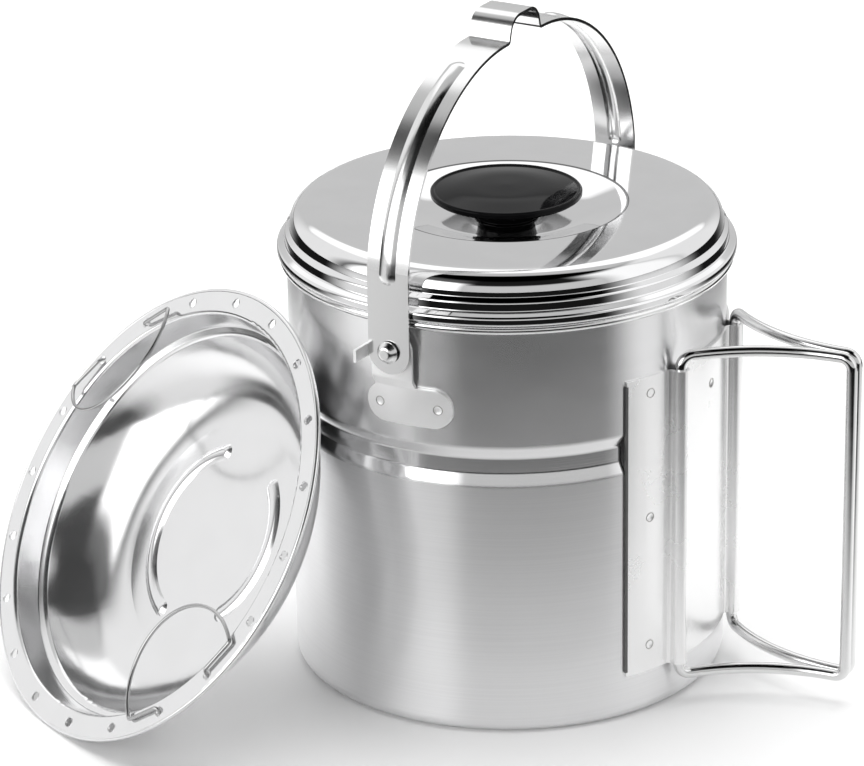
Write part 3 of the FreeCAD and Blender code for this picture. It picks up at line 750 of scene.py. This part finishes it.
# %% Burrs round the steam holes
HOLES = 20
FIRST_HOLE = 9.0
HOLE_CIRCLE = 71.35 * MM
BURR_RADIUS = 1.66 * MM
BURR_SECTION = 0.13 * MM
hole_places = [polar(HOLE_CIRCLE, FIRST_HOLE + i * 360.0 / HOLES) for i in range(HOLES)]
burrs = rings("hole_burrs", hole_places, BURR_RADIUS, BURR_SECTION,
              outward=0.0, finish=tray_steel, place=tray_place)
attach(burrs, "tray")

# %% [markdown]
# ## The camera
#
# A long lens from nearly a metre and a half away keeps the pot's sides nearly parallel.
# The camera looks down on the lid and is turned to the side, so the near lug, the side
# handle and the hollow of the tray all show. Its matrix is built from the way it looks,
# as the tray's was, with a very small roll.

# %% Camera
CAMERA_PLACE = Vector((0.62632, -1.12066, 0.60991))
CAMERA_LOOK = Vector((-0.46765, 0.80061, -0.37466))
CAMERA_ROLL = math.radians(-0.8762)
camera_data = bpy.data.cameras.new("camera")
camera_data.sensor_width = 36.0
camera_data.lens = 179.22
camera_data.clip_end = 20.0
camera = bpy.data.objects.new("camera", camera_data)
bpy.context.collection.objects.link(camera)
look = CAMERA_LOOK.normalized()
level_right = look.cross(Vector((0, 0, 1))).normalized()
level_up = level_right.cross(look)
rolled_right = level_right * math.cos(CAMERA_ROLL) + level_up * math.sin(CAMERA_ROLL)
rolled_up = level_up * math.cos(CAMERA_ROLL) - level_right * math.sin(CAMERA_ROLL)
camera.matrix_world = placed(CAMERA_PLACE, rolled_right, rolled_up, -look)
bpy.context.scene.camera = camera
print("camera %.2f m away, lens %.0f mm" % (CAMERA_PLACE.length, camera_data.lens))

# %% [markdown]
# ## The studio that the steel mirrors
#
# Steel shows its surroundings, so the world matters more than the lamps. It has a
# bright ceiling, a soft light on each side of the viewer, a dimmer glow behind the
# viewer and a pale wall behind the pot. The rest of the room is dark, which draws the
# thin black lines along every rounded edge. Panels with real edges could be hung round
# the pot, but a world worked out from the direction alone has softer edges and less
# grain. Bearings are in degrees from the viewer, positive to the right. Heights are in
# degrees above the level.

# %% Directions as the viewer sees them
DEGREES = 180.0 / math.pi
VIEWER_TURN = math.radians(29.2)


def from_viewer(x, y):
    """A level direction as two shares: towards the viewer, and to the viewer's right."""
    nearer = x * math.sin(VIEWER_TURN) + y * -math.cos(VIEWER_TURN)
    rightwards = x * math.cos(VIEWER_TURN) + y * math.sin(VIEWER_TURN)
    return nearer, rightwards


world = bpy.data.worlds.new("studio")
bpy.context.scene.world = world
world.use_nodes = True
world.node_tree.nodes.clear()
dx, dy, dz = coordinates(world.node_tree, "Generated").parts()
front, side = from_viewer(dx, dy)
azimuth = side.maths("ARCTAN2", front) * DEGREES
around = azimuth.maths("ABSOLUTE")
height = dz.maths("ARCSINE") * DEGREES
overhead = dz.maths("ARCTAN2", front * -1.0) * DEGREES
sideways = side.maths("ABSOLUTE")
print("world:", world.name)

# %% Walls and ceiling of soft light
DARK_ROOM = 0.012
RIGHT_LIGHT = 1.15
CEILING = 0.6
CEILING_MIDDLE = 1.3
back_wall = around.ramp(88.0, 108.0) * around.ramp(138.0, 160.0, start=0.92, end=0.62)
left_light = (window(azimuth, low=-78.0, high=-35.0, soft=18.0)
              * height.ramp(34.0, 46.0, start=2.4, end=0.1))
right_light = window(azimuth, low=66.0, high=90.0, soft=28.0) * RIGHT_LIGHT
front_glow = (window(height, low=-12.0, high=28.0, soft=8.0)
              * around.ramp(50.0, 75.0, start=0.62, end=0.0))
walls = DARK_ROOM + largest(back_wall, left_light, right_light, front_glow)
low_walls = walls * height.ramp(52.0, 64.0, start=1.0, end=0.0)
bright_part = window(overhead, low=31.0, high=60.0, soft=9.0) * CEILING_MIDDLE
ceiling = largest(bright_part, window(overhead, low=31.0, high=82.0, soft=6.0) * CEILING)
ceiling = ceiling * sideways.ramp(0.4, 0.62, start=1.0, end=0.35)
ceiling = ceiling * sideways.ramp(0.8, 0.95, start=1.0, end=0.0)
light = largest(low_walls, ceiling)
background = light.node("ShaderNodeBackground", {},
                        {"Color": (1.0, 1.0, 1.0, 1.0), "Strength": light})
world_output = world.node_tree.nodes.new("ShaderNodeOutputWorld")
world.node_tree.links.new(background.socket, world_output.inputs["Surface"])
print("world nodes:", len(world.node_tree.nodes))

# %% [markdown]
# ## The floor and the black flag
#
# The floor is a plain pale sheet that keeps the pot's soft shadow. A pale floor alone
# would make the lower wall and the lid's underside white. In a studio, black card is
# laid round the set, out of view, so that edges stay dark. The flag does that: it is
# seen only in the steel, it fades in with distance, and it thins out where a side light
# or the wall behind should still show.


# %% Floor
def flat_sheet(name, corners, colour):
    """A flat plain sheet of the studio; returns it, its shader and the position on it."""
    mesh = bpy.data.meshes.new(name)
    mesh.from_pydata(corners, [], [tuple(range(len(corners)))])
    paper, shader, place = start_finish(name + "_paper", colour, metallic=0.0,
                                        roughness=0.9, Specular_IOR_Level=0.0)
    mesh.materials.append(paper)
    laid = add_piece(name, mesh)
    return laid, shader, place


REACH = 6.0
flat_sheet("floor", [(-REACH, -REACH, 0), (REACH, -REACH, 0), (REACH, REACH, 0),
                     (-REACH, REACH, 0)], grey(0.97))
print("floor %.0f m across" % (2 * REACH))

# %% Black flag round the pot
FLAG_NEAR = 0.10
FLAG_FAR = 5.5
FLAG_LEVEL = 1.0 * MM


def flag_ring(radius, bearings):
    """Points of a level circle, by their bearing from the viewer."""
    first = math.degrees(VIEWER_TURN) - 90.0
    return [polar(radius, first + bearing, FLAG_LEVEL) for bearing in bearings]


flag_steps = range(0, 361, 6)
flag_corners = flag_ring(FLAG_FAR, flag_steps) + flag_ring(FLAG_NEAR, reversed(flag_steps))
flag, flag_shader, flag_place = flat_sheet("flag", flag_corners, grey(0.008))
flag.visible_camera = False
flag.visible_diffuse = False
flag.visible_shadow = False
print("flag corners:", len(flag_corners))

# %% Where the flag shows
SIDE_LOBES = 0.7
BACK_LOBE = 0.45
FADE_FROM = 0.03
FADE_FROM_AT_SIDE = 0.30
FADE_TO = 0.36
FADE_TO_AT_SIDE = 0.42
flag_x, flag_y = flag_place.parts()[:2]
ahead, aside = from_viewer(flag_x, flag_y)
bearing = aside.maths("ARCTAN2", ahead) * DEGREES
off_front = bearing.maths("ABSOLUTE")
far_off = (flag_x * flag_x + flag_y * flag_y).maths("SQRT")
left_lobe = window(bearing, low=-80.0, high=-60.0, soft=24.0)
right_lobe = window(bearing, low=70.0, high=88.0, soft=26.0)
thinned = largest(largest(left_lobe, right_lobe) * SIDE_LOBES,
                  off_front.ramp(132.0, 165.0) * BACK_LOBE)
to_the_side = off_front.ramp(60.0, 100.0)
faded_in = far_off.ramp(FADE_FROM + to_the_side * (FADE_FROM_AT_SIDE - FADE_FROM),
                        FADE_TO + to_the_side * (FADE_TO_AT_SIDE - FADE_TO))
feed(flag_shader, "Alpha", (1.0 - thinned) * faded_in)
print("flag nodes:", len(flag_shader.id_data.nodes))

# %% [markdown]
# ## Lamps
#
# Two soft lamps light the floor and the dull pieces. They aren't mirrored by the steel,
# which gets its picture from the world alone, so moving a lamp changes the shadow
# without a hot spot on the lid. The view transform is Standard, so a colour renders
# about as it is written.

# %% Lamps
bpy.context.scene.view_settings.view_transform = "Standard"


def soft_lamp(name, place, target, size, power):
    """A round soft lamp that isn't mirrored by the steel."""
    data = bpy.data.lights.new(name, "AREA")
    data.shape = "DISK"
    data.size = size
    data.energy = power
    lamp = bpy.data.objects.new(name, data)
    bpy.context.collection.objects.link(lamp)
    lamp.location = place
    aim = Vector(target) - Vector(place)
    lamp.rotation_euler = aim.to_track_quat("-Z", "Y").to_euler()
    lamp.visible_glossy = False
    print(name, "%.0f W" % power)


soft_lamp("top_lamp", place=(0.0, 0.0, 2.4), target=(0.0, 0.0, 0.0), size=2.0, power=30.0)
soft_lamp("back_left_fill", place=(-1.1, 1.4, 0.45), target=(-0.07, -0.03, 0.03),
          size=1.3, power=18.0)
